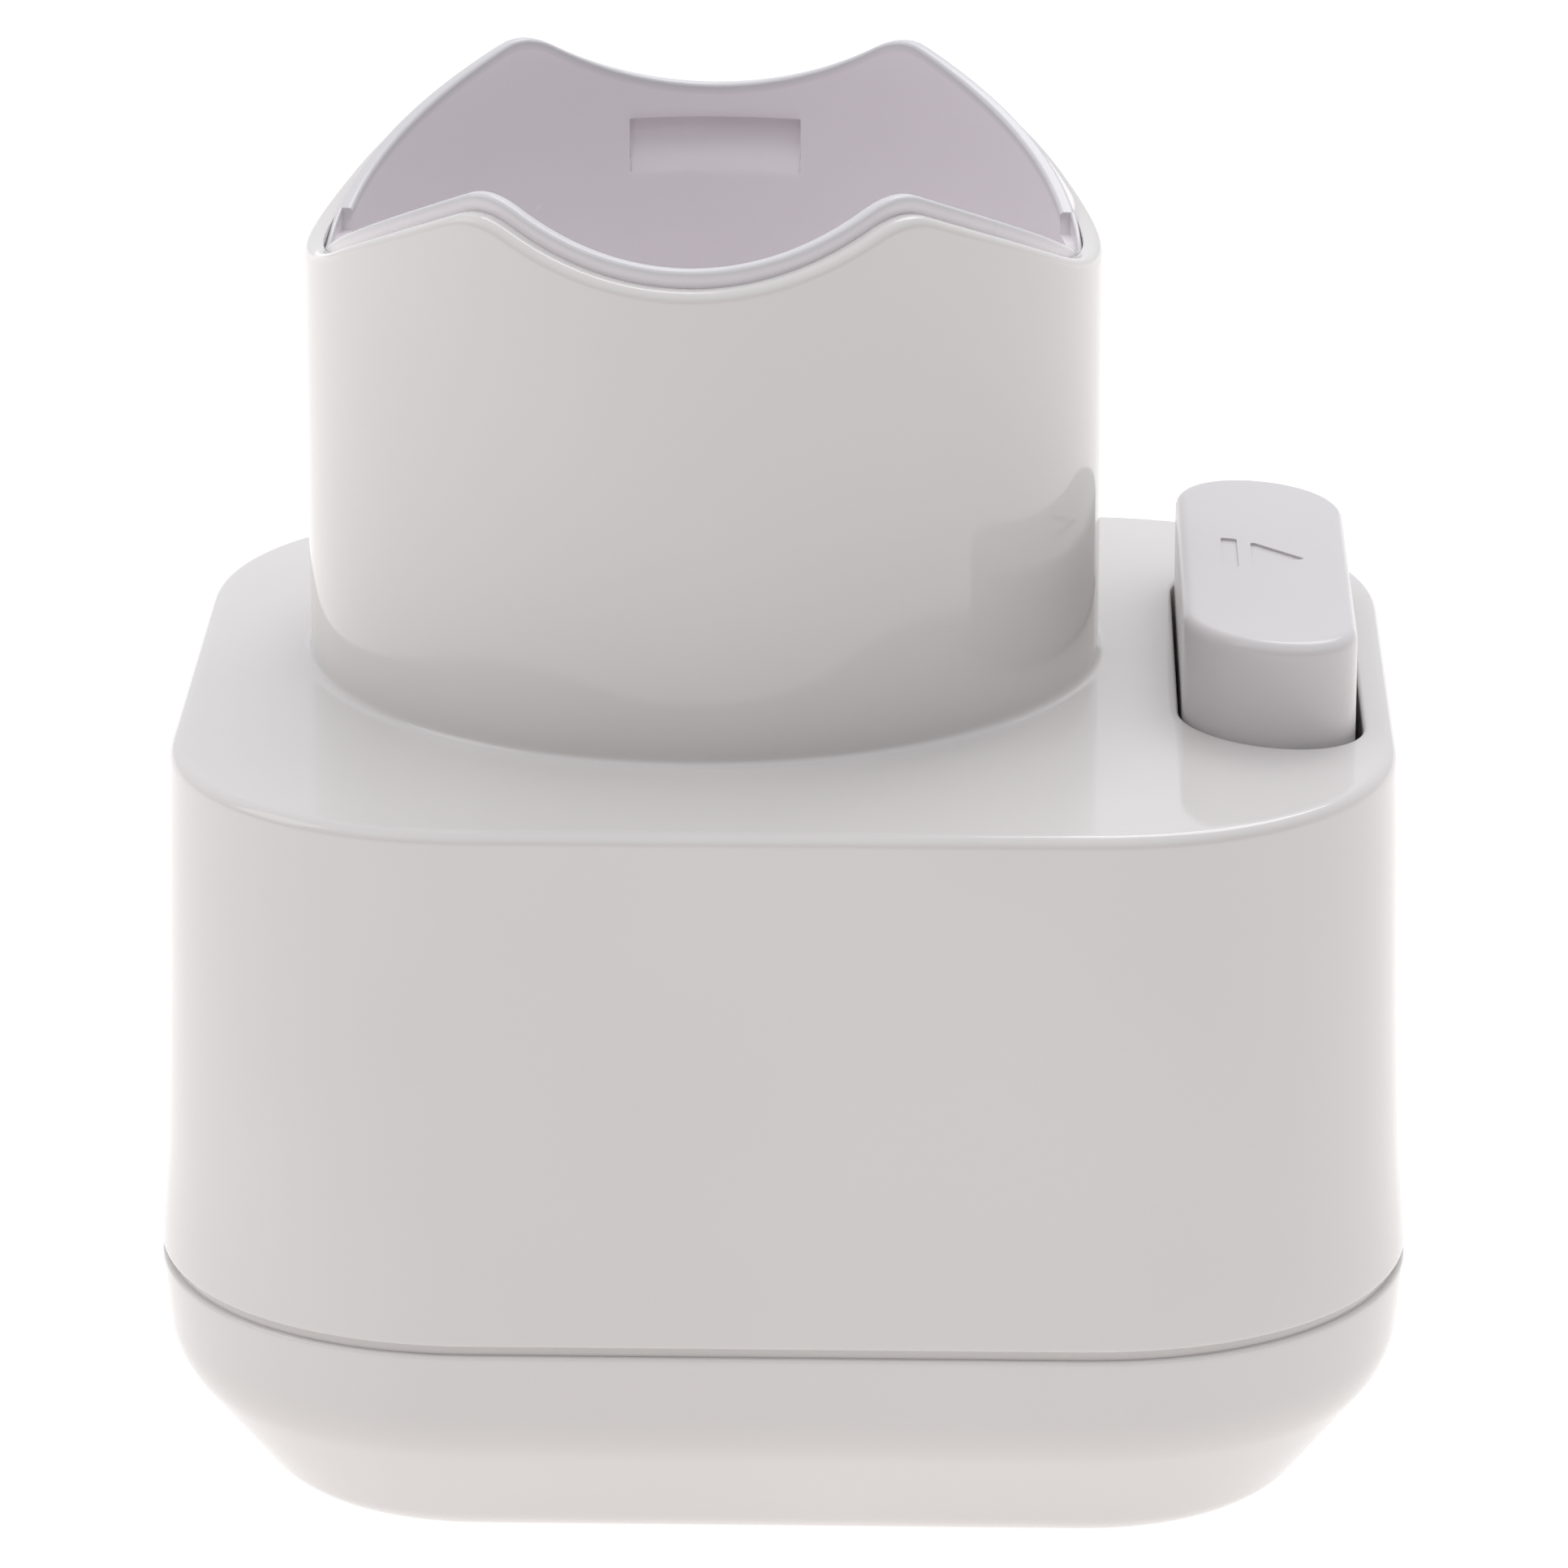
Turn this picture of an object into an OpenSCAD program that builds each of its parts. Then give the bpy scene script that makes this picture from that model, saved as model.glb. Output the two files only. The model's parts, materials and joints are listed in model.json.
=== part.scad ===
// Twin-beater gearbox for a hand blender: a crown-rimmed socket takes the motor handle,
// a gear train turns two beater sockets in the base, and a sprung key pushes the beaters out.
// Millimetres. Origin on the table under the middle of the body; +X right, +Y back, +Z up.

/* [Body] */
// Width of the body at the parting line, left to right
body_w = 96.4; // [94:0.2:100]
// Depth of the body at the parting line, front to back
body_d = 85.5; // [84:0.2:90]
// Height of the body's flat top above the table
body_top = 59.2; // [59:0.1:62]
// Height of the upper housing's lower edge above the table
seam_z = 19.0; // [18.6:0.1:20]
// Gap between the upper housing and the lower cover
seam_gap = 0.8; // [0.4:0.1:1.2]
// Radius of the body's upright corners, seen from above
corner_r = 24.4; // [22:0.2:26]
// Draft of the upper housing's sides, degrees
draft = 2; // [1:0.1:2.2]
// Wall thickness of the mouldings
wall = 2; // [1.6:0.1:2.2]

/* [Bevel round the base] */
// How far the bevel comes in at the table
bevel_in = 9.1; // [7:0.1:10]
// How far the bevel comes in for each millimetre it drops
bevel_slope = 0.79; // [0.7:0.01:0.9]
// Radius that blends the upright wall into the bevel
bevel_blend = 7.5; // [4:0.5:9]
// Radius that blends the bevel into the flat bottom
foot_blend = 6; // [2:0.5:7]

/* [Motor socket] */
// Left-right place of the socket's axis
socket_x = -6.75; // [-7:0.05:-6.5]
// Front-back place of the socket's axis
socket_y = 5.6; // [5.4:0.05:5.8]
// Outer radius of the socket's shell
socket_r = 31; // [30.8:0.1:31.2]
// Bore radius of the liner that takes the motor handle
bore_r = 28.2; // [28:0.05:28.3]
// Height of the seat that the handle stops on
seat_z = 70; // [69:0.1:72]
// Height of the rim's four peaks
peak_z = 102; // [100:0.1:103]
// Height of the rim's front and rear dips
dip_z = 97.4; // [96.5:0.1:98]
// Height of the rim's low points at left and right
low_z = 91.4; // [91:0.1:93]
// Angle from front or rear to each peak, degrees
peak_angle = 31.4; // [30:0.2:33]
// Height difference over which each peak is rounded
peak_round = 2.4; // [1.6:0.1:3]
// Height over which each low point is rounded
low_round = 1; // [0.5:0.1:2]
// Height of the outer shell's low points at left and right
shell_low_z = 92.1; // [91.4:0.1:92.5]
// Width of the level step in the rim at each side of the bore
step_w = 10.8; // [3:0.2:12]
// Depth of the steps into the liner's wall
step_depth = 0.8; // [0.4:0.1:0.9]

/* [Eject key] */
// Width of the key
key_w = 13.2; // [12.6:0.1:13.6]
// Length of the key, front to back
key_l = 44; // [42:0.2:44]
// Left-right place of the key's middle
key_x = 37.1; // [36.9:0.05:37.2]
// Front-back place of the key's middle
key_y = 2.8; // [2.5:0.1:3]
// How far the key's ends slant towards the front for each millimetre to the right
key_skew = 0.27; // [0:0.01:0.3]
// Height of the key's top at rest
key_top = 67.3; // [67:0.1:68]
// Mean gap round the key in its slot
key_gap = 0.42; // [0.4:0.01:0.6]

/* [Gears] */
// Spacing of the two beater sockets
beater_gap = 40; // [40:1:40]
// Teeth on each beater gear, module 1
beater_teeth = 40; // [40:1:40]
// Teeth on the idler's small gear, module 1
idler_small_teeth = 12; // [12:1:12]
// Teeth on the idler's large gear, module 0.8
idler_large_teeth = 40; // [40:1:40]
// Teeth on the input pinion, module 0.8
pinion_teeth = 11; // [11:1:11]
// Bore radius of the sockets that take the beater shafts
beater_bore_r = 3.05; // [3:0.05:3.1]
// Tooth thinning on each gear, for backlash
thinning = 0.08; // [0.04:0.01:0.12]

/* [Hidden] */
$fn = 96;
eps = 0.01;

cover_top = seam_z - seam_gap;
// The cover's locating lip stands inside the housing: its height and its insets from the body's side.
lip_h = 4;
lip_out = wall + 0.3;
lip_in = wall + 1.8;
hull_fn = 40;
socket = [socket_x, socket_y];
liner_r = socket_r - wall / 2 - 0.6;
shell_bore_r = liner_r + 0.1;
shell_drop = 1.3;
pocket_r = 20;
pocket_z = 61.4;

left = [-beater_gap / 2, 0];
right = [beater_gap / 2, 0];
module_low = 1;
module_high = 0.8;
reach_low = module_low * (beater_teeth + idler_small_teeth) / 2;
reach_high = module_high * (idler_large_teeth + pinion_teeth) / 2;
// The idler's axis is reach_low from the right beater and reach_high from the socket, at the back.
span = norm(right - socket);
along = (reach_high * reach_high - reach_low * reach_low + span * span) / (2 * span);
across = sqrt(reach_high * reach_high - along * along);
unit = (right - socket) / span;
idler = socket + along * unit + across * [-unit[1], unit[0]];

plate_z = 26;
plate_t = 2.5;
boss_top = 31;
low_gear = [10, 18];
high_gear = [19.6, 24.8];
tube_r = 4.5;
tube_z = 0.6;
tube_top = 31.4;
bore_end = 24;
shaft_r = 2.5;
pin_r = 2;
fit_gap = 0.05;
screw_r = 1.5;
cover_screw_at = [29.6, 23.9];
chassis_screw_at = [36, 31];
sleeve_screw_r = 24.4;

travel = 7;
yoke_z = tube_top + travel + 1;
yoke_t = 3;
key_z = yoke_z + yoke_t;
skirt_z = key_z + 2.3;
post_y = -8;
guide_x = -32;
slot_at = [key_x + 0.15, key_y];
spring_at = [key_x, 3];
spring_r = 3.4;
spring_wire = 0.45;
spring_z = plate_z + plate_t + 0.5;
spring_top = 60.4;
spring_turns = 8;

// ---- profiles -------------------------------------------------------------

function unit_of(v) = v / norm(v);

// Points of an arc of radius r that rounds the corner b between a and c.
function rounded_corner(a, b, c, r, steps) =
    let (u = unit_of(a - b), v = unit_of(c - b), half = acos(u * v) / 2,
         middle = b + unit_of(u + v) * r / sin(half),
         from = b + u * r / tan(half) - middle, to = b + v * r / tan(half) - middle,
         sweep = 180 - 2 * half)
    [for (i = [0 : steps])
        middle + (sin(sweep * (1 - i / steps)) * from + sin(sweep * i / steps) * to) / sin(sweep)];

// The cover's side as [inset, height]: upright wall, bevel, flat bottom, both bends rounded.
bend_z = bevel_in / bevel_slope;
cover_side = concat(
    [[0, cover_top]],
    rounded_corner([0.3, cover_top], [0.5, bend_z - 0.5], [bevel_in, 0], bevel_blend, 5),
    rounded_corner([0.5, bend_z - 0.5], [bevel_in, 0], [2 * bevel_in, 0], foot_blend, 5));

module rounded_rect(w, d, r) {
    square([w - 2 * r, d], center = true);
    square([w, d - 2 * r], center = true);
    for (x = [-1, 1], y = [-1, 1])
        translate([x * (w / 2 - r), y * (d / 2 - r)])
            circle(r);
}

// Body outline moved in by an inset, as a thin slab whose lower face is at z.
module body_slab(z, inset) {
    translate([0, 0, z])
        linear_extrude(eps)
            rounded_rect(body_w - 2 * inset, body_d - 2 * inset, corner_r - inset, $fn = hull_fn);
}

function slanted(p) = [p[0], p[1] - key_skew * p[0]];

// Straight sides and round ends; the ends slant as the key's do.
module pill(w, l) {
    end = [for (a = [0 : 5 : 180]) [w / 2 * cos(a), (l - w) / 2 + w / 2 * sin(a)]];
    polygon([for (p = concat(end, -end)) slanted(p)]);
}

module tube(r_out, r_in, z0, z1) {
    translate([0, 0, z0])
        difference() {
            cylinder(h = z1 - z0, r = r_out);
            translate([0, 0, -1])
                cylinder(h = z1 - z0 + 2, r = r_in);
        }
}

module rod(r, z0, z1) {
    translate([0, 0, z0])
        cylinder(h = z1 - z0, r = r);
}

module at(p) {
    translate([p[0], p[1], 0])
        children();
}

module four(p) {
    for (x = [-1, 1], y = [-1, 1])
        at([x * p[0], y * p[1]])
            children();
}

// ---- crown rim ------------------------------------------------------------

// Smaller of two heights, with their crossing rounded over a height difference k.
function rounded_min(a, b, k) = min(a, b) - pow(max(k - abs(a - b), 0), 2) / (4 * k);

// Rim height at an angle from front or rear: a parabola in the dip, an even fall from the peak to the
// side, a rounded peak between them and a rounded low point at the side.
crest_z = peak_z + peak_round / 4;
fall = sqrt(pow(crest_z - low_z + low_round, 2) - low_round * low_round) / (90 - peak_angle);
function rim_z(a) = rounded_min(
    dip_z + (crest_z - dip_z) * pow(a / peak_angle, 2),
    low_z - low_round + norm([fall * (90 - a), low_round]),
    peak_round);

rim_steps = 8;
rim_angles = concat(
    [for (i = [0 : rim_steps]) peak_angle * i / rim_steps],
    [for (i = [1 : rim_steps]) peak_angle + (90 - peak_angle) * i / rim_steps]);
rim_side = [for (a = rim_angles) [socket_r * sin(a), rim_z(a)]];
rim_line = concat(
    [for (i = [len(rim_side) - 1 : -1 : 1]) [-rim_side[i][0], rim_side[i][1]]],
    rim_side);

// Everything above the rim, moved down by a drop.
module above_rim(drop) {
    at(socket)
        translate([0, socket_r + 2, -drop])
            rotate([90, 0, 0])
                linear_extrude(2 * socket_r + 4)
                    polygon(concat(
                        [[-socket_r - 2, peak_z + 5], [-socket_r - 2, low_z]],
                        rim_line,
                        [[socket_r + 2, low_z], [socket_r + 2, peak_z + 5]]));
}

// ---- gears ----------------------------------------------------------------

function turned(p, a) = [p[0] * cos(a) - p[1] * sin(a), p[0] * sin(a) + p[1] * cos(a)];

// Involute spur gear outline, 20 degree pressure angle, with profile shift x.
module gear_outline(m, z, x, turn) {
    pitch = m * z / 2;
    base = pitch * cos(20);
    tip = pitch + m * (1 + x);
    root = pitch - m * (1.25 - x);
    // Half the tooth's angle at the pitch circle, thinned for backlash.
    half = (90 / z) + (2 * x * tan(20) / z) * (180 / PI) - (thinning / 2 / pitch) * (180 / PI);
    involute_pitch = tan(20) * 180 / PI - 20;
    start = max(base, root);
    flank_steps = 4;
    flank = [for (i = [0 : flank_steps])
        let (r = start + (tip - start) * i / flank_steps, p = acos(min(1, base / r)))
        turned([r, 0], half + involute_pitch - (tan(p) * 180 / PI - p))];
    foot = turned([root, 0], half + involute_pitch + 0.1 / pitch);
    tooth = concat(
        [[foot[0], -foot[1]]],
        [for (q = flank) [q[0], -q[1]]],
        [for (i = [flank_steps : -1 : 0]) flank[i]],
        [foot]);
    polygon([for (t = [0 : z - 1]) for (q = tooth) turned(q, turn + t * 360 / z)]);
}

module spur(m, z, x, turn, levels) {
    translate([0, 0, levels[0]])
        linear_extrude(levels[1] - levels[0])
            gear_outline(m, z, x, turn);
}

function direction(from, to) = atan2(to[1] - from[1], to[0] - from[0]);

// Angle that puts gear b in mesh with gear a, whose tooth stands at turn_a.
function meshed(from, to, teeth_a, turn_a, teeth_b) =
    direction(from, to) + 180 + 180 / teeth_b + (direction(from, to) - turn_a) * teeth_a / teeth_b;

turn_right = 0;
turn_left = meshed(right, left, beater_teeth, turn_right, beater_teeth);
turn_small = meshed(right, idler, beater_teeth, turn_right, idler_small_teeth);
turn_large = 0;
turn_pinion = meshed(idler, socket, idler_large_teeth, turn_large, pinion_teeth);
low_shift = 0.35;
high_shift = 0.4;

// ---- fixed pieces ---------------------------------------------------------

function housing_inset(z) = (z - seam_z) * tan(draft);

module housing_solid(extra, z0, z1) {
    hull() {
        body_slab(z0, housing_inset(z0) + extra);
        body_slab(z1 - 1, housing_inset(z1 - 1) + extra);
        body_slab(z1 - 0.3, housing_inset(z1) + extra + 0.3);
        body_slab(z1 - eps, housing_inset(z1) + extra + 1);
    }
}

module upper_housing() {
    color("whitesmoke")
    difference() {
        union() {
            difference() {
                housing_solid(0, seam_z, body_top);
                housing_solid(wall, seam_z - 1, body_top - wall);
            }
            at(socket)
                tube(socket_r, shell_bore_r, body_top - wall, peak_z);
            intersection() {
                union() {
                    at(slot_at)
                        translate([0, 0, skirt_z])
                            linear_extrude(body_top - skirt_z - 1)
                                pill(key_w + 2 * key_gap + 2.6, key_l + 2 * key_gap + 2.6);
                    four(chassis_screw_at)
                        rod(3.6, plate_z + plate_t, body_top - 1);
                }
                housing_solid(0.8, seam_z, body_top);
            }
        }
        intersection() {
            above_rim(shell_drop);
            at(socket)
                rod(socket_r + 1, shell_low_z, peak_z + 1);
        }
        at(slot_at)
            translate([0, 0, skirt_z - 1])
                linear_extrude(body_top)
                    pill(key_w + 2 * key_gap, key_l + 2 * key_gap);
        at(socket)
            rod(9, body_top - 2 * wall, body_top + 1);
        for (a = [90, 210, 330])
            at(socket + turned([sleeve_screw_r, 0], a))
                rod(screw_r + 0.2, body_top - 2 * wall, body_top + 1);
        four(chassis_screw_at)
            rod(screw_r - 0.3, plate_z, plate_z + 14);
    }
}

// Liner: main bore down to the seat, a narrower pocket round the drive coupling, a floor with
// a bush seat, two latch windows at front and rear and a level step in the rim at each side.
module coupling_sleeve() {
    color("gainsboro")
    difference() {
        at(socket)
            rod(liner_r, body_top, peak_z);
        at(socket) {
            rod(bore_r, seat_z, peak_z + 1);
            rod(pocket_r, pocket_z, peak_z);
            rod(6, body_top - 1, pocket_z + 1);
            for (a = [0, 180])
                rotate(a)
                    translate([-6.9, 24, 90.1])
                        cube([13.8, 8, 4.6]);
            intersection() {
                rod(bore_r + step_depth, low_z - 0.3, peak_z);
                translate([-liner_r, -step_w / 2, low_z - 1])
                    cube([2 * liner_r, step_w, 10]);
            }
            for (a = [90, 210, 330])
                rotate(a)
                    translate([sleeve_screw_r, 0, 0])
                        rod(screw_r - 0.3, body_top - 1, seat_z - 2);
        }
        above_rim(0);
    }
}

module lower_cover() {
    color("whitesmoke")
    difference() {
        union() {
            difference() {
                union() {
                    hull()
                        for (p = cover_side)
                            body_slab(max(0, p[1] - eps), p[0]);
                    translate([0, 0, cover_top - 2])
                        linear_extrude(2 + lip_h)
                            rounded_rect(body_w - 2 * lip_out, body_d - 2 * lip_out, corner_r - lip_out);
                }
                hull()
                    for (p = concat(cover_side, [[0, cover_top + lip_h + 1]]))
                        body_slab(max(wall, p[1] - eps), p[0] + lip_in);
            }
            for (p = [left, right])
                at(p)
                    rod(9, 1, 9);
            at(idler)
                rod(4, 1, 8.8);
            four(cover_screw_at)
                rod(3.6, 1, plate_z);
        }
        for (p = [left, right])
            at(p) {
                rod(5.6, -1, 2);
                rod(7.5, 1, 10);
            }
        at(idler)
            rod(pin_r, 4, 10);
        four(cover_screw_at) {
            rod(screw_r + 0.2, -1, plate_z + 1);
            rod(2.9, -1, 8);
        }
    }
}

module chassis_plate() {
    color("darkgray")
    difference() {
        union() {
            translate([0, 0, plate_z])
                linear_extrude(plate_t)
                    rounded_rect(body_w - 4 * wall - 0.8, body_d - 4 * wall - 0.8, corner_r - 2 * wall);
            for (p = [left, right])
                at(p)
                    rod(8.6, plate_z, boss_top);
            at(socket)
                rod(7, plate_z, boss_top);
            at(idler)
                rod(5, plate_z, boss_top);
            at([guide_x, post_y])
                rod(4, plate_z, boss_top);
            at(spring_at)
                rod(2.2, plate_z, 46);
            four(cover_screw_at)
                rod(3.2, plate_z, 35.2);
        }
        for (p = [left, right])
            at(p)
                rod(7, plate_z - 1, boss_top + 1);
        at(socket)
            rod(5.5, plate_z - 1, boss_top + 1);
        at(idler)
            rod(pin_r, plate_z - 1, boss_top - 1);
        at([guide_x, post_y])
            rod(pin_r, plate_z - 1, boss_top + 1);
        four(cover_screw_at)
            rod(screw_r - 0.3, plate_z - 1, 34.4);
        four(chassis_screw_at)
            rod(screw_r + 0.2, plate_z - 1, boss_top);
    }
}

module idler_pin() {
    color("silver")
    at(idler)
        rod(pin_r, 4, boss_top - 1);
}

module guide_post() {
    color("silver")
    at([guide_x, post_y])
        rod(pin_r, plate_z, 50);
}

module input_bush_upper() {
    color("peru")
    at(socket)
        tube(6, shaft_r + fit_gap, body_top - 1.6, pocket_z);
}

module input_bush_lower() {
    color("peru")
    at(socket)
        tube(5.5, shaft_r + fit_gap, plate_z, boss_top);
}

module upper_bush(p) {
    color("peru")
    at(p)
        tube(7, tube_r + fit_gap, plate_z, boss_top);
}

module lower_bush(p) {
    color("peru")
    at(p)
        tube(7.5, tube_r + fit_gap, 2.4, 9);
}

module beater_seal(p) {
    color("dimgray")
    at(p)
        tube(7.5, tube_r + 0.1, 1, 2.4);
}

module screw(head_r, head_z0, head_z1, tip) {
    rod(head_r, head_z0, head_z1);
    rod(screw_r - 0.3, head_z1, tip);
}

module cover_screws() {
    color("silver")
    four(cover_screw_at)
        difference() {
            screw(2.7, 5.8, 8, 34);
            translate([-2, -0.4, 5])
                cube([4, 0.8, 1.6]);
            translate([-0.4, -2, 5])
                cube([0.8, 4, 1.6]);
        }
}

module chassis_screws() {
    color("silver")
    four(chassis_screw_at)
        screw(2.7, plate_z - 2, plate_z, plate_z + 13);
}

module sleeve_screws() {
    color("silver")
    for (a = [90, 210, 330])
        at(socket + turned([sleeve_screw_r, 0], a))
            screw(2.7, body_top - wall - 2, body_top - wall, seat_z - 3);
}

// Compression coil round its post, closed against the chassis and the key's spring cup.
module eject_spring() {
    sides = 6;
    per_turn = 18;
    rings = spring_turns * per_turn;
    points = [for (i = [0 : rings]) for (s = [0 : sides - 1])
        let (a = 360 * i / per_turn,
             r = spring_r + spring_wire * cos(360 * s / sides),
             z = spring_z + spring_wire + (spring_top - spring_z - 2 * spring_wire) * i / rings)
        [r * cos(a), r * sin(a), z + spring_wire * sin(360 * s / sides)]];
    skin = [for (i = [0 : rings - 1]) for (s = [0 : sides - 1])
        let (t = (s + 1) % sides)
        [i * sides + s, i * sides + t, (i + 1) * sides + t, (i + 1) * sides + s]];
    color("silver")
    at(spring_at)
        polyhedron(points, concat(
            [[for (s = [sides - 1 : -1 : 0]) s]],
            skin,
            [[for (s = [0 : sides - 1]) rings * sides + s]]));
}

// ---- input drive ----------------------------------------------------------

module drive_coupling() {
    color("dimgray")
    at(socket)
        difference() {
            union() {
                rod(6.5, pocket_z + 0.2, 65);
                for (a = [0 : 60 : 300])
                    rotate(a)
                        translate([0, -1.1, 64])
                            cube([5.6, 2.2, 5.2]);
                rod(4, 64, 69.2);
            }
            rod(shaft_r, pocket_z - 1, 67);
        }
}

module input_shaft() {
    color("silver")
    at(socket)
        rod(shaft_r, high_gear[0] - 0.8, 67);
}

module input_pinion() {
    color("silver")
    at(socket)
        difference() {
            spur(module_high, pinion_teeth, high_shift, turn_pinion, high_gear);
            rod(shaft_r, high_gear[0] - 1, high_gear[1] + 1);
        }
}

module input_clip() {
    color("darkgray")
    at(socket)
        difference() {
            tube(4.2, shaft_r, boss_top + 0.1, boss_top + 0.9);
            translate([0, -1, boss_top])
                cube([6, 2, 2]);
        }
}

module input_washer() {
    color("ivory")
    at(socket)
        tube(4.6, shaft_r, high_gear[1], plate_z - 0.15);
}

// ---- idler ----------------------------------------------------------------

module idler_gear() {
    color("ivory")
    at(idler)
        difference() {
            union() {
                spur(module_low, idler_small_teeth, low_shift, turn_small, [low_gear[0], high_gear[0]]);
                spur(module_high, idler_large_teeth, -high_shift, turn_large, high_gear);
            }
            rod(pin_r + fit_gap, 0, plate_z);
        }
}

module idler_washer() {
    color("ivory")
    at(idler) {
        tube(4, pin_r, 8.8, low_gear[0] - 0.1);
        tube(4, pin_r, high_gear[1] + 0.1, plate_z);
    }
}

// ---- beater drives --------------------------------------------------------

module beater_gear(p, x, turn) {
    color("ivory")
    at(p)
        difference() {
            union() {
                difference() {
                    spur(module_low, beater_teeth, x, turn, low_gear);
                    tube(16.5, 8.5, low_gear[1] - 2.5, low_gear[1] + 1);
                    tube(16.5, 8.5, low_gear[0] - 1, low_gear[0] + 2.5);
                }
                rod(6.8, 9.7, 20.4);
            }
            rod(tube_r, 9, 21);
        }
}

// Steel tube: the beater's bore from below, a narrower way for the push pin above it.
module beater_socket(p) {
    color("silver")
    at(p)
        difference() {
            union() {
                rod(tube_r, tube_z, tube_top);
                rod(6, 24, 25.2);
            }
            rod(beater_bore_r, tube_z - 1, bore_end);
            rod(2.3, bore_end - 1, tube_top + 1);
            rotate([0, 90, 0])
                translate([-21.9, 0, 0])
                    cylinder(h = 6, r = 0.8, $fn = 24);
        }
}

module detent_clip(p) {
    color("darkgray")
    at(p) {
        difference() {
            tube(5.3, tube_r, 21.2, 22.6);
            translate([-6, -0.8, 21])
                cube([3, 1.6, 2]);
        }
        translate([0, 0, 21.9])
            rotate([0, 90, 0])
                translate([0, 0, beater_bore_r + 0.1])
                    cylinder(h = tube_r - beater_bore_r + 0.3, r = 0.6, $fn = 24);
    }
}

module thrust_washers(p) {
    color("ivory")
    at(p) {
        tube(7, tube_r, 9.1, 9.7);
        tube(6.6, tube_r, 25.2, 25.85);
    }
}

// ---- eject key ------------------------------------------------------------

// Eject mark: a bar and a triangle that points right.
module eject_mark() {
    bar = [[-3.3, -3.7], [-2.05, -3.7], [-2.05, 3.7], [-3.3, 3.7]];
    pointer = [[-1, -3.3], [3.2, 0], [-1, 3.3]];
    for (shape = [bar, pointer])
        polygon([for (p = shape) slanted(p)]);
}

module eject_key() {
    color("whitesmoke")
    at([key_x, key_y])
        difference() {
            union() {
                difference() {
                    union() {
                        translate([0, 0, key_z])
                            linear_extrude(key_top - key_z - 1)
                                pill(key_w, key_l);
                        translate([0, 0, key_top - 1])
                            linear_extrude(1)
                                pill(key_w - 0.8, key_l - 0.8);
                        translate([0, 0, key_z])
                            linear_extrude(2)
                                pill(key_w + 2 * key_gap + 1.2, key_l + 2 * key_gap + 1.2);
                    }
                    translate([0, 0, key_z - 1])
                        linear_extrude(key_top - key_z - 0.8)
                            pill(key_w - 3.2, key_l - 3.2);
                }
                for (y = [-13, 15])
                    translate([0, y, 0])
                        rod(2.6, key_z, key_top - 1);
                translate([0, spring_at[1] - key_y, 0]) {
                    rod(4.6, spring_top + 0.1, key_top - 1);
                    rod(2.2, 56, spring_top + 1);
                }
            }
            for (y = [-13, 15])
                translate([0, y, 0])
                    rod(0.9, key_z - 1, key_z + 9);
            translate([0, 0.9, key_top - 0.2])
                linear_extrude(1)
                    eject_mark();
        }
}

module eject_yoke() {
    color("silver")
    difference() {
        translate([0, 0, yoke_z])
            linear_extrude(yoke_t) {
                translate([guide_x, post_y - 4])
                    square([key_x - guide_x, 8]);
                translate([guide_x, post_y])
                    circle(4.6);
                for (p = [left, right]) {
                    translate(p)
                        circle(5);
                    translate([p[0] - 5, post_y])
                        square([10, -post_y]);
                }
                translate([key_x, key_y])
                    pill(key_w - 1.2, key_l - 6);
            }
        at([guide_x, post_y])
            rod(pin_r + 0.08, yoke_z - 1, yoke_z + 5);
        at(spring_at)
            rod(4.6, yoke_z - 1, yoke_z + 5);
        for (y = [-13, 15])
            at([key_x, key_y + y])
                rod(1.3, yoke_z - 1, yoke_z + 5);
        for (p = [left, right])
            at(p)
                rod(1.4, yoke_z - 1, yoke_z + 5);
    }
}

module push_pin(p) {
    color("silver")
    at(p) {
        rod(2.2, bore_end + 0.3, yoke_z);
        rod(1.4, yoke_z, yoke_z + yoke_t);
        rod(2.4, yoke_z + yoke_t, yoke_z + yoke_t + 1);
    }
}

module key_screws() {
    color("silver")
    for (y = [-13, 15])
        at([key_x, key_y + y]) {
            rod(2.3, yoke_z - 1.6, yoke_z);
            rod(0.9, yoke_z, key_z + 8);
        }
}

upper_housing();
coupling_sleeve();
lower_cover();
chassis_plate();
idler_pin();
guide_post();
input_bush_upper();
input_bush_lower();
upper_bush(left);  // upper_bush_left
upper_bush(right);  // upper_bush_right
lower_bush(left);  // lower_bush_left
lower_bush(right);  // lower_bush_right
beater_seal(left);  // beater_seal_left
beater_seal(right);  // beater_seal_right
cover_screws();
chassis_screws();
sleeve_screws();
eject_spring();
drive_coupling();
input_shaft();
input_pinion();
input_clip();
input_washer();
idler_gear();
idler_washer();
beater_gear(left, low_shift, turn_left);  // beater_gear_left
beater_gear(right, -low_shift, turn_right);  // beater_gear_right
beater_socket(left);  // beater_socket_left
beater_socket(right);  // beater_socket_right
detent_clip(left);  // detent_clip_left
detent_clip(right);  // detent_clip_right
thrust_washers(left);  // thrust_washers_left
thrust_washers(right);  // thrust_washers_right
eject_key();
eject_yoke();
push_pin(left);  // push_pin_left
push_pin(right);  // push_pin_right
key_screws();
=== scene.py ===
# %% [markdown]
# # A twin-beater gearbox for a hand blender
# This lesson dresses a finished mechanical model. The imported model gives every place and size, and
# each surface that shows is worked out again as a smooth grid of points, because a moulded part is
# all soft blends and the working model is not. Shapes are written in millimetres and become metres
# only when a mesh is made.

# %% Load the working model and keep its box
import json

import bmesh
import bpy
import numpy as np
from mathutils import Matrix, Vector
from mathutils.geometry import delaunay_2d_cdt


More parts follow.
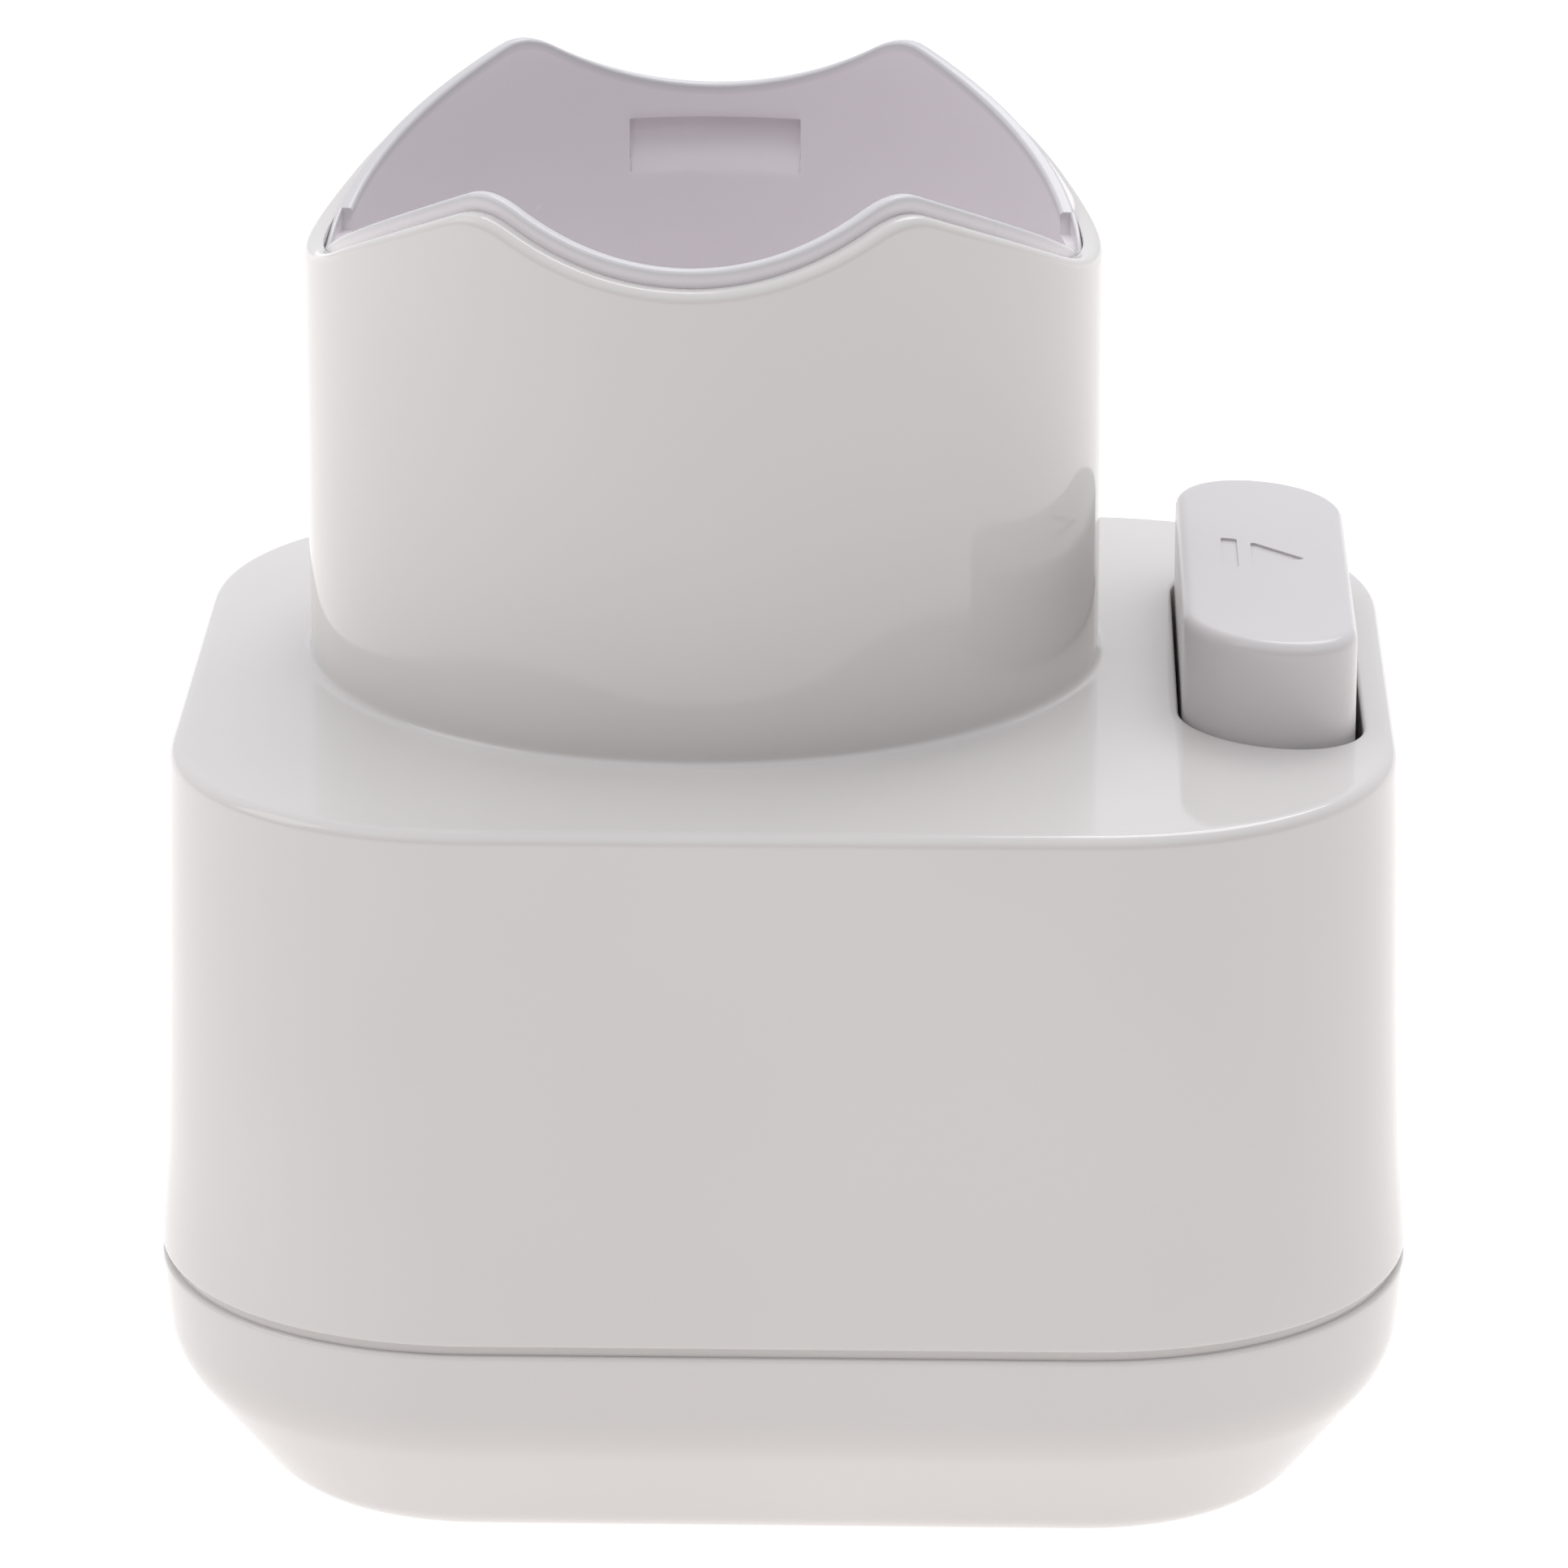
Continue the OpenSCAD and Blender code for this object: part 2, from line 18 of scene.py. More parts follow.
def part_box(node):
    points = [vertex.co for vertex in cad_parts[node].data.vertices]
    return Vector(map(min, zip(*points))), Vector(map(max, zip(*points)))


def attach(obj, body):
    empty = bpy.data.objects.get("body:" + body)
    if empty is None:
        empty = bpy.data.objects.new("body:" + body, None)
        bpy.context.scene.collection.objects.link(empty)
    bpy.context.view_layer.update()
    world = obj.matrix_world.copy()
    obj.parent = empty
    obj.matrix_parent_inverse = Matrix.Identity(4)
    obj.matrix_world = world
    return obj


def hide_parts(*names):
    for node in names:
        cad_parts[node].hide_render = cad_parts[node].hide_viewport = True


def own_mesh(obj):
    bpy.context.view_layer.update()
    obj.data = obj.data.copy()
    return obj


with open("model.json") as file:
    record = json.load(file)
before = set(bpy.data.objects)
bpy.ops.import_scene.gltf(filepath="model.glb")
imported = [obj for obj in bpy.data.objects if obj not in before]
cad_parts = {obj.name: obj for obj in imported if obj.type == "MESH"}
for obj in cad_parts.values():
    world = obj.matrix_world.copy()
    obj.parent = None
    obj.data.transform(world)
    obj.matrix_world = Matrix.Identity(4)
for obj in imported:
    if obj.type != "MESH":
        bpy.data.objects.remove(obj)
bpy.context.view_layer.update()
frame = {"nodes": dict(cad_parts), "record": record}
METRES = 0.001


def box_mm(node):
    """Lowest and highest corner of a node of the working model, in millimetres."""
    low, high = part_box(node)
    return np.array(low) / METRES, np.array(high) / METRES


def middle_mm(node):
    """Middle of a node's box seen from above, half way between its corners, in millimetres."""
    low, high = box_mm(node)
    return (low + high)[:2] / 2


# %% [markdown]
# ## The camera first
# A long lens from far away keeps the sides nearly parallel, which is how such a part is pictured in
# a catalogue. The camera looks down at nearly 19 degrees, so the top face and the inside of the socket show.
# It is aimed a little off the picture's middle with the lens shift instead of being turned, which
# keeps the upright edges upright.

# %% Camera
CAMERA_AT = (0.0154, -0.62214, 0.2602)
AIM = (0.0, 0.0, 0.0506)
LENS_MM = 192.0

camera_data = bpy.data.cameras.new("camera")
camera_data.lens = LENS_MM
camera_data.sensor_width = 36
camera_data.shift_x = -0.0030
camera_data.shift_y = -0.0097
camera = bpy.data.objects.new("camera", camera_data)
camera.location = CAMERA_AT
camera.rotation_euler = (Vector(AIM) - Vector(CAMERA_AT)).to_track_quat("-Z", "Y").to_euler()
bpy.context.scene.collection.objects.link(camera)
bpy.context.scene.camera = camera

# %% [markdown]
# ## Rings, lofts and flat fills
# Every piece here is made of closed rings of points. Rings with the same number of points are joined
# by quads, which gives walls, blends and rims. A flat region with holes in it, such as the top face,
# is filled with triangles by a constrained Delaunay triangulation, whose points are the rings
# themselves, so the fill and the walls share their edges.

# %% Ring helpers
TURN = 2 * np.pi


def circle(radius, centre=(0, 0), points=96):
    """Point k of n stands at angle 2 pi k / n, at the radius from the centre."""
    angle = np.arange(points) * TURN / points
    return np.column_stack([np.cos(angle), np.sin(angle)]) * radius + centre


def ring(outline, height):
    """A closed outline in X and Y, lifted to a height that is one number or one per point."""
    return np.column_stack([outline, np.broadcast_to(height, len(outline))])


def arc(centre, radius, start, end, steps=6):
    """Points on a circle about the centre, from the start to the end angle in degrees."""
    angle = np.radians(np.linspace(start, end, steps + 1))
    return np.column_stack([np.cos(angle), np.sin(angle)]) * radius + centre


def loft(rings, wrap=False):
    """Quads between points j and j + 1 of rings i and i + 1; wrap joins the last ring to the first."""
    grid = np.asarray(rings, float)
    rows, columns = grid.shape[:2]
    i = np.arange(rows if wrap else rows - 1)[:, None]
    j = np.arange(columns)[None, :]
    up, on = (i + 1) % rows, (j + 1) % columns
    corners = [i * columns + j, i * columns + on, up * columns + on, up * columns + j]
    return grid.reshape(-1, 3), np.stack(corners, -1).reshape(-1, 4)


def inside(points, outline):
    """Even-odd rule: inside is where a line to the right crosses the outline an odd number of times."""
    a, b = outline, np.roll(outline, -1, axis=0)
    x, y = points[:, :1], points[:, 1:]
    spans = (a[:, 1] > y) != (b[:, 1] > y)
    with np.errstate(divide="ignore", invalid="ignore"):
        cross = a[:, 0] + (y - a[:, 1]) / (b[:, 1] - a[:, 1]) * (b[:, 0] - a[:, 0])
    return (spans & (x < cross)).sum(axis=1) % 2 == 1


def fill(outline, holes, height):
    """Triangles over the flat region inside one outline and outside the holes, at a height."""
    loops = [np.asarray(loop, float) for loop in (outline, *holes)]
    starts = np.cumsum([0] + [len(loop) for loop in loops])
    edges = [(start + k, start + (k + 1) % len(loop))
             for start, loop in zip(starts, loops) for k in range(len(loop))]
    points, _, faces, *_ = delaunay_2d_cdt([Vector(p) for p in np.vstack(loops)], edges, [], 1, 1e-7)
    points, faces = np.array(points), np.array(faces)
    middle = points[faces].mean(axis=1)
    keep = inside(middle, loops[0])
    for hole in loops[1:]:
        keep &= ~inside(middle, hole)
    return ring(points, height), faces[keep]


print("points on a circle:", len(circle(1.0)))

# %% [markdown]
# ## From surfaces to a piece
# The parts of a piece are put into one mesh, points that coincide are merged, and the faces are
# turned outwards. Shading is smooth except across edges sharper than a set angle. Each piece then
# hides the working node it stands for, moves with its body and takes its finish. The
# finishes are made further down, in one table.

# %% Piece maker
def merge_parts(parts):
    """Stacks (points, faces) pairs and returns all points, and each part's faces with shifted indices."""
    starts = np.cumsum([0] + [len(points) for points, _ in parts])
    return np.vstack([points for points, _ in parts]), [f + s for (_, f), s in zip(parts, starts)]


def make_piece(name, parts, body, slot, node, sharp=35):
    """Builds a mesh object in metres from parts in millimetres, closes it, hides the node it stands for, and
    attaches it to its body.
    """
    points, faces = merge_parts(parts)
    sizes = np.concatenate([np.full(len(f), f.shape[1]) for f in faces])
    corners = np.concatenate([f.ravel() for f in faces])
    mesh = bpy.data.meshes.new(name)
    mesh.vertices.add(len(points))
    mesh.vertices.foreach_set("co", (points * METRES).ravel())
    mesh.loops.add(len(corners))
    mesh.loops.foreach_set("vertex_index", corners)
    mesh.polygons.add(len(sizes))
    mesh.polygons.foreach_set("loop_start", np.cumsum(sizes) - sizes)
    mesh.update(calc_edges=True)
    mesh.validate()
    work = bmesh.new()
    work.from_mesh(mesh)
    bmesh.ops.remove_doubles(work, verts=work.verts, dist=1e-6)
    bmesh.ops.dissolve_degenerate(work, edges=work.edges, dist=1e-7)
    bmesh.ops.recalc_face_normals(work, faces=work.faces)
    open_edges = sum(not edge.is_manifold for edge in work.edges)
    work.to_mesh(mesh)
    work.free()
    mesh.shade_smooth()
    mesh.set_sharp_from_angle(angle=np.radians(sharp))
    piece = bpy.data.objects.new(name, mesh)
    bpy.context.scene.collection.objects.link(piece)
    mesh.materials.append(MATERIALS[slot])
    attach(piece, body)
    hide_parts(node)
    print(f"{name}: {len(mesh.vertices)} points, {len(mesh.polygons)} faces, {open_edges} open edges")
    return piece


print("one millimetre, metres:", METRES)

# %% [markdown]
# ## Shader maths in plain Python
# A finish is a small formula: speckle is where a noise passes a threshold, a smudge is a soft noise
# times a small number. A class that wraps a node socket and overloads + - * lets the formula be
# written as one, and one method makes any other node.

# %% Shader maths
class Wire:
    """A value socket that adds Math nodes when it is used in an expression."""

    def __init__(self, tree, socket):
        self.tree, self.socket = tree, socket

    def node(self, kind, inputs=(), out=0, **settings):
        """Makes a node of a kind, sets its settings, then its sockets by name or number."""
        made = self.tree.nodes.new(kind)
        for key, value in settings.items():
            setattr(made, key, value)
        for key, value in dict(inputs).items():
            self.plug(made.inputs[key], value)
        return Wire(self.tree, made.outputs[out])

    def plug(self, socket, value):
        """Links a wire to a socket, or sets the socket to a constant."""
        if isinstance(value, Wire):
            self.tree.links.new(value.socket, socket)
        else:
            socket.default_value = value

    def maths(self, operation, *values):
        """One Math node on the values, in order."""
        return self.node("ShaderNodeMath", dict(enumerate(values)), operation=operation)

    def __add__(self, other):
        return self.maths("ADD", self, other)

    def __sub__(self, other):
        return self.maths("SUBTRACT", self, other)

    def __rsub__(self, other):
        return self.maths("SUBTRACT", other, self)

    def __mul__(self, other):
        return self.maths("MULTIPLY", self, other)

    __radd__ = __add__
    __rmul__ = __mul__

    def mix(self, mask, low, high):
        """Colour low where the mask is 0 and high where it is 1."""
        ends = {6 + k: (*end, 1) if isinstance(end, tuple) else end for k, end in enumerate((low, high))}
        return self.node("ShaderNodeMix", {0: mask, **ends}, out=2, data_type="RGBA")

    def above(self, low, high):
        """0 below low, 1 above high, smooth between."""
        return self.node("ShaderNodeMapRange", {"Value": self, "From Min": low, "From Max": high},
                         interpolation_type="SMOOTHSTEP")


class Finish:
    """A material with a Principled shader, and the patterns that its formulas use."""

    def __init__(self, name, **constants):
        self.material = bpy.data.materials.new(name)
        self.material.use_nodes = True
        tree = self.material.node_tree
        self.shader = tree.nodes["Principled BSDF"]
        self.wire = Wire(tree, None)
        self.place = self.wire.node("ShaderNodeTexCoord", out="Object")
        for key, value in constants.items():
            self.shader.inputs[key.replace("_", " ")].default_value = value

    def set(self, name, value):
        """Plugs a value into a socket of the shader."""
        self.wire.plug(self.shader.inputs[name], value)

    def stretched(self, x, y, z):
        """Object coordinates scaled on each axis, in patterns per metre."""
        return self.wire.node("ShaderNodeMapping", {"Vector": self.place, "Scale": (x, y, z)})

    def noise(self, scale, detail=3.0, roughness=0.55, place=None):
        """Cloudy noise, about 0.5 on average, with the scale in patterns per metre."""
        return self.wire.node("ShaderNodeTexNoise", {
            "Vector": place or self.place, "Scale": scale, "Detail": detail, "Roughness": roughness})

    def cells(self, scale):
        """Distance to the nearest of the scattered points."""
        return self.wire.node("ShaderNodeTexVoronoi", {"Vector": self.place, "Scale": scale}, out="Distance")

    def bump(self, height, distance):
        """Tilts the surface as if it stood height times distance, in metres, above the mesh."""
        normal = self.wire.node("ShaderNodeBump", {"Height": height, "Distance": distance, "Strength": 1.0})
        self.set("Normal", normal)


print("shader tools:", Wire.__name__, Finish.__name__)

# %% [markdown]
# ## Gloss moulding
# The two housings are white ABS from a polished mould. Such a surface is bright and nearly smooth, yet
# never perfect: it shows a faint waviness from the cooling plastic, hand smudges that dull it here and
# there, and now and then a dark speck of burnt plastic. The waviness and the smudges are soft noises,
# and a speck is where the distance to a scattered point is very small.

# %% Gloss finish
def moulding(name, colour, shade, gloss, dulled, wave, grain, rim=None):
    """Colour and roughness drift with a soft noise; wave and grain are bump heights in metres."""
    finish = Finish(name, IOR=1.5)
    drift = finish.noise(28, detail=2.0).above(0.35, 0.7)
    smudge = finish.noise(60, detail=5.0, roughness=0.6).above(0.5, 0.75)
    speck = 1 - finish.cells(42).above(0.0035, 0.006)
    body = finish.wire.mix(drift, shade, colour)
    # Painted shade: on the liner, the rim colour is a darker grey laid where the rim number is 1.
    if rim:
        rim_shade_mask = finish.wire.node("ShaderNodeAttribute", out="Fac", attribute_name="rim")
        body = finish.wire.mix(rim_shade_mask, body, rim)
    finish.set("Base Color", finish.wire.mix(speck * 0.5, body, SPECK))
    finish.set("Roughness", smudge * (dulled - gloss) + gloss)
    finish.bump(finish.noise(70, detail=1.0) * wave + finish.noise(2400, detail=2.0) * grain, distance=1.0)
    return finish.material


SPECK = (0.23, 0.20, 0.17)
housing_gloss = moulding("housing_gloss", colour=(0.695, 0.671, 0.657), shade=(0.678, 0.654, 0.64),
                         gloss=0.07, dulled=0.15, wave=1.2e-5, grain=3e-7)
print("finish:", housing_gloss.name)

# %% [markdown]
# ## Satin moulding
# The socket's liner and the key are separate mouldings with a finer, duller texture, a trace cooler
# in tone. The same formula serves, with a rougher surface and more of the fine grain. The liner's rim
# top is painted a darker grey than the bore. This is painted shade, which makes the rim in full light as dim
# as the shaded bore. So its mesh will carry a number, 1 on the rim and 0 elsewhere, that the finish reads.

# %% Satin finishes
# The liner's rim colour is painted shade: a darker grey on its rim top than on its bore.
liner_satin = moulding("liner_satin", colour=(0.84, 0.797, 0.82), shade=(0.825, 0.782, 0.805),
                       gloss=0.24, dulled=0.32, wave=8e-6, grain=1.5e-6, rim=(0.65, 0.635, 0.65))
key_satin = moulding("key_satin", colour=(0.645, 0.623, 0.626), shade=(0.63, 0.608, 0.611),
                     gloss=0.22, dulled=0.30, wave=8e-6, grain=1.5e-6)
print("finishes:", liner_satin.name, key_satin.name)

# %% [markdown]
# ## Working plastics and rubber
# The gears are milky acetal, which has a soft waxy sheen and a little light inside it. The coupling is
# grey nylon filled with short glass fibres: they lie in the surface as pale stretched flecks. The seals
# are black rubber, dull, with dust in the low spots.

# %% Gear, coupling and seal finishes
def acetal_finish():
    """Cream that clouds with a soft noise, a waxy gloss, and fine tool marks as bump."""
    finish = Finish("acetal", IOR=1.48, Subsurface_Weight=0.12, Subsurface_Scale=0.002)
    cloud = finish.noise(160, detail=3.0)
    finish.set("Base Color", finish.wire.mix(cloud, (0.70, 0.68, 0.62), (0.80, 0.79, 0.74)))
    finish.set("Roughness", cloud * 0.14 + 0.28)
    finish.bump(finish.noise(1800, detail=3.0), distance=0.00004)
    return finish.material


def nylon_finish():
    """Grey with pale flecks, where a noise stretched along X passes a threshold."""
    finish = Finish("grey_nylon", IOR=1.53)
    fleck = finish.noise(1.0, detail=2.0, place=finish.stretched(900, 3600, 3600)).above(0.56, 0.66)
    finish.set("Base Color", finish.wire.mix(fleck, (0.105, 0.108, 0.115), (0.22, 0.22, 0.225)))
    finish.set("Roughness", fleck * -0.12 + 0.52)
    finish.bump(fleck, distance=0.00002)
    return finish.material


def rubber_finish():
    """Near black, with dust where a soft noise is high, and a rough fine grain."""
    finish = Finish("seal_rubber", IOR=1.5)
    dust = finish.noise(220, detail=4.0).above(0.5, 0.8)
    finish.set("Base Color", finish.wire.mix(dust, (0.018, 0.018, 0.02), (0.05, 0.048, 0.046)))
    finish.set("Roughness", dust * 0.2 + 0.62)
    finish.bump(finish.noise(3000, detail=2.0), distance=0.00003)
    return finish.material


acetal, grey_nylon, seal_rubber = acetal_finish(), nylon_finish(), rubber_finish()
print("finishes:", acetal.name, grey_nylon.name, seal_rubber.name)

# %% [markdown]
# ## Metals
# Turned steel carries fine rings round its axis, so its noise is squeezed along Z. Spring steel is
# darker and smoother, with a straw tint from its heat treatment. A sintered bronze bush is pressed
# powder: its face is full of small dark pores that hold oil.

# %% Metal finishes
def metal(name, dark, light, rough, spread, lines, pores=0.0):
    """Streaks from a noise with its own scale on each axis; pores where cells are close, as dark pits."""
    finish = Finish(name, Metallic=1.0)
    streak = finish.noise(1.0, detail=4.0, place=finish.stretched(*lines))
    pit = (1 - finish.cells(1500).above(0.10, 0.22)) * pores
    finish.set("Base Color", finish.wire.mix(streak - pit, dark, light))
    finish.set("Roughness", streak * spread + pit * 0.3 + rough)
    finish.bump(streak * 0.5 - pit, distance=0.00003)
    return finish.material


steel = metal("steel", (0.50, 0.50, 0.51), (0.66, 0.66, 0.67), 0.20, 0.16, (300, 300, 5200))
spring_steel = metal("spring_steel", (0.36, 0.34, 0.31), (0.50, 0.48, 0.45), 0.22, 0.18, (900, 900, 900))
bronze = metal("bronze", (0.36, 0.22, 0.12), (0.58, 0.39, 0.22), 0.34, 0.16, (700, 700, 700), pores=1.0)
MATERIALS = {"housing_gloss": housing_gloss, "liner_satin": liner_satin, "key_satin": key_satin,
             "grey_nylon": grey_nylon, "acetal": acetal, "steel": steel, "spring_steel": spring_steel,
             "bronze": bronze, "seal_rubber": seal_rubber}
print("metals:", steel.name, spring_steel.name, bronze.name)

# %% [markdown]
# ## The working pieces keep their shape
# Gears, shafts, bushes and screws are already exact in the working model. They only need their finish,
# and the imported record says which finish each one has.

# %% Finishes for the working pieces
slot_of = {part["node"]: part["material_slot"] for part in frame["record"]["subparts"]}
for node, slot in slot_of.items():
    surface = frame["nodes"][node].data.materials
    surface.clear()
    surface.append(MATERIALS[slot])
print(len(slot_of), "working pieces have a finish")

# %% [markdown]
# ## Outlines
# Two outlines repeat all over this object: the body, a rectangle whose corners are a little fuller
# than circles, and the key, a straight slot with round ends. Both are made from one quarter, mirrored,
# and both can be moved in by an inset while their points stay in step, which is what a loft needs.

# %% Body and key outlines
HOUSING_LOW, HOUSING_HIGH = box_mm("upper_housing")
BODY_HALF = (HOUSING_HIGH - HOUSING_LOW)[:2] / 2
CORNER_R, CORNER_POWER, CORNER_STEPS, STRAIGHT_STEPS = 25.5, 2.12, 30, 8


def mirrored(quarter):
    """A quarter's path from the X axis to the Y axis, mirrored into a closed outline."""
    return np.vstack([quarter[:-1], (quarter * (-1, 1))[:0:-1],
                      -quarter[:-1], (quarter * (1, -1))[:0:-1]])


def cornered(half, radius, power, steps, straights):
    """Quarter outline: straight up from the X axis, a corner x**p + y**p = r**p, straight to the Y axis."""
    centre = np.array(half) - radius
    turn = np.radians(np.linspace(0, 90, steps + 1))
    corner = np.column_stack([np.cos(turn), np.sin(turn)]).clip(0) ** (2 / power) * radius + centre
    up = np.column_stack([np.full(straights, half[0]), np.linspace(0, centre[1], straights, endpoint=False)])
    across = np.column_stack([np.linspace(centre[0], 0, straights + 1)[1:], np.full(straights, half[1])])
    return np.vstack([up, corner, across])


def body_outline(inset):
    """The body from above, moved in by the inset, with corners whose radius shrinks as much."""
    return mirrored(cornered(BODY_HALF - inset, CORNER_R - inset, CORNER_POWER, CORNER_STEPS, STRAIGHT_STEPS))


KEY_LOW, KEY_HIGH = box_mm("eject_key")
KEY_AT = middle_mm("eject_key")
KEY_WIDTH, KEY_LENGTH, KEY_GAP, KEY_SKEW = 13.2, 44.0, 0.42, 0.27


def slanted(outline):
    """The key's ends slant: y drops by the skew for each millimetre of x. Moves the outline to the key."""
    return outline - np.column_stack([np.zeros(len(outline)), outline[:, 0]]) * KEY_SKEW + KEY_AT


def key_outline(inset):
    """The key from above: straight sides and half-round ends. A negative inset is the flange round it."""
    radius, straight = KEY_WIDTH / 2 - inset, (KEY_LENGTH - KEY_WIDTH) / 2
    turn = np.radians(np.linspace(0, 90, 25))
    end = np.column_stack([np.cos(turn), np.sin(turn)]) * radius + (0, straight)
    return slanted(mirrored(np.vstack([[(radius, 0), (radius, straight - 1)], end])))


def slot_outline(inset):
    """The key's outline, a little to the right and back: the key sits to the left and front of its slot."""
    return key_outline(inset) + (0.15, 0.2)


def sweep(outline, profile, wrap=False):
    """Loft of the outline at each (inset or radius, height) of a profile."""
    return loft([ring(outline(size), height) for size, height in profile], wrap)


print("body half size, mm:", BODY_HALF.round(2).tolist(), "points round it:", len(body_outline(0)))

# %% [markdown]
# ## The crown rim
# The socket's rim is not level: it dips at the front and rear, where the motor handle's buttons are
# reached, rises to four rounded peaks, and falls to low points at the sides. A dip is a parabola and
# a flank is a hyperbola, straight but for its round low point, and the smaller of the two heights is
# the rim. Where they cross, the height is pulled down by a square term, which rounds the peak.

# %% Rim height
LINER_LOW, LINER_HIGH = box_mm("coupling_sleeve")
SOCKET_AT = middle_mm("coupling_sleeve")
LINER_R = (LINER_HIGH - LINER_LOW)[0] / 2
PEAK, DIP, LOW = LINER_HIGH[2], 97.4, 91.4
PEAK_ANGLE, PEAK_ROUND, LOW_ROUND = 31.4, 2.4, 1.0


def away_from_dip(angle):
    """Degrees between a direction and the nearer of front and rear: 0 in a dip, 90 at a side."""
    return 90 - np.degrees(np.arcsin(np.abs(np.sin(angle)).clip(0, 1)))


def rim_height(angle):
    """min(dip, flank) - max(k - |dip - flank|, 0)**2 / 4k, where k is the height of the peak's rounding."""
    away = away_from_dip(angle)
    crest = PEAK + PEAK_ROUND / 4
    slope = np.sqrt((crest - LOW + LOW_ROUND) ** 2 - LOW_ROUND ** 2) / (90 - PEAK_ANGLE)
    dip = DIP + (crest - DIP) * (away / PEAK_ANGLE) ** 2
    flank = LOW - LOW_ROUND + np.hypot(slope * (90 - away), LOW_ROUND)
    near = np.maximum(PEAK_ROUND - np.abs(dip - flank), 0)
    return np.minimum(dip, flank) - near ** 2 / (4 * PEAK_ROUND)


print("rim at dip, peak and side, mm:", rim_height(np.radians([90, 90 - PEAK_ANGLE, 0])).round(2).tolist())

# %% [markdown]
# ## Upper housing
# One moulding: the body's sides with 2 degrees of draft, a flat top, the socket's round shell and the
# slot of the key. It could be a box with booleans, but the blends are what makes it read as moulded, so
# every wall is a loft with its roundings in the profile. The long walls sink in by a third of a
# millimetre above their stiff lower edge, as thin moulded walls do. Beside each rounding runs a strip
# 0.4 mm wide on the flat, which stops the smooth shading from bending across the whole face.

# %% Housing walls
SEAM, TOP, WALL, STRIP = HOUSING_LOW[2], LINER_LOW[2], 2.0, 0.4
DRAFT, SINK = np.tan(np.radians(2)), 0.34
CEILING = TOP - WALL
SHELL_R, SHELL_BORE = LINER_R + 1.6, LINER_R + 0.03


def drafted(height):
    """How far the housing's side has come in at a height."""
    return (height - SEAM) * DRAFT


def step(value, low, high):
    """0 below low, 1 above high, and 3t**2 - 2t**3 between."""
    t = ((value - low) / (high - low)).clip(0, 1)
    return t * t * (3 - 2 * t)


def side_in(height):
    """The draft, plus sink * step(up, 0, 9) * (1 - 0.7 step(up, 14, 40)), with up counted from the seam."""
    up = np.asarray(height) - SEAM
    return drafted(height) + SINK * step(up, 0, 9) * (1 - 0.7 * step(up, 14, 40))


TOP_ROUND, LIP_ROUND = 1.0, 0.25
top_edge = side_in(TOP - TOP_ROUND)
side_heights = [SEAM + LIP_ROUND + STRIP, *(SEAM + np.array([1.6, 3, 5, 7, 9, 14, 20, 27, 34])),
                TOP - TOP_ROUND - STRIP]
body_profile = [
    (WALL + drafted(CEILING), CEILING), (WALL + drafted(CEILING - STRIP), CEILING - STRIP),
    (WALL + drafted(SEAM + STRIP), SEAM + STRIP), (WALL, SEAM),
    *arc((LIP_ROUND, SEAM + LIP_ROUND), LIP_ROUND, 270, 180, 4),
    *[(side_in(height), height) for height in side_heights],
    *arc((top_edge + TOP_ROUND, TOP - TOP_ROUND), TOP_ROUND, 180, 90, 8),
    (top_edge + TOP_ROUND + STRIP, TOP)]
housing_body = sweep(body_outline, body_profile)
print("rings up the housing's side:", len(body_profile))

# %% [markdown]
# ## Socket shell
# The shell rises from the top face with a small fillet and ends 1.3 mm below the liner's rim, so the
# two rims show as a double line. At the low sides it stays up and stands a little proud: its height is
# the larger of the lowered rim and a level, with their crossing rounded. The height changes round the
# circle, so each ring near the rim has one height per point.

# %% Shell
SHELL_DROP, SHELL_LOW, SHELL_POINTS = 1.3, 92.1, 240
FILLET, RIM_ROUND, RIM_EDGE, DRIVE_HOLE_R = 0.7, 0.85, 0.08, 9.0


def socket_circle(radius):
    """A circle round the socket's axis, with the shell's number of points."""
    return circle(radius, SOCKET_AT, SHELL_POINTS)


lowered = rim_height(np.arange(SHELL_POINTS) * TURN / SHELL_POINTS) - SHELL_DROP
crossing = (PEAK_ROUND - np.abs(lowered - SHELL_LOW)).clip(0)
shell_rim = np.maximum(lowered, SHELL_LOW) + crossing ** 2 / (4 * PEAK_ROUND)
shell_profile = [
    (SHELL_R + FILLET + STRIP, TOP), *arc((SHELL_R + FILLET, TOP + FILLET), FILLET, 270, 180),
    (SHELL_R, TOP + FILLET + STRIP), (SHELL_R, shell_rim - RIM_ROUND - STRIP),
    *[(r, shell_rim + z) for r, z in arc((SHELL_R - RIM_ROUND, -RIM_ROUND), RIM_ROUND, 0, 90)],
    *[(r, shell_rim + z) for r, z in arc((SHELL_BORE + RIM_EDGE, -RIM_EDGE), RIM_EDGE, 90, 180, 3)],
    (SHELL_BORE, shell_rim - RIM_EDGE - STRIP), (SHELL_BORE, TOP),
    (DRIVE_HOLE_R, TOP), (DRIVE_HOLE_R, CEILING)]
housing_shell = sweep(socket_circle, shell_profile)
print("rings up the shell:", len(shell_profile))

# %% [markdown]
# ## Key slot, screw posts and flat faces
# Under the slot a thin skirt guides the key, and four posts take the chassis screws. The flat faces
# are then filled between the rings that are already there.

# %% Slot, posts and fills
SLOT_ROUND, SKIRT_WALL, SKIRT_Z = 0.35, 0.5, 44.7
slot_profile = [
    (-KEY_GAP - SLOT_ROUND - STRIP, TOP),
    *arc((-KEY_GAP - SLOT_ROUND, TOP - SLOT_ROUND), SLOT_ROUND, 90, 0, 5),
    (-KEY_GAP, TOP - SLOT_ROUND - STRIP), (-KEY_GAP, SKIRT_Z),
    (-KEY_GAP - SKIRT_WALL, SKIRT_Z), (-KEY_GAP - SKIRT_WALL, CEILING)]


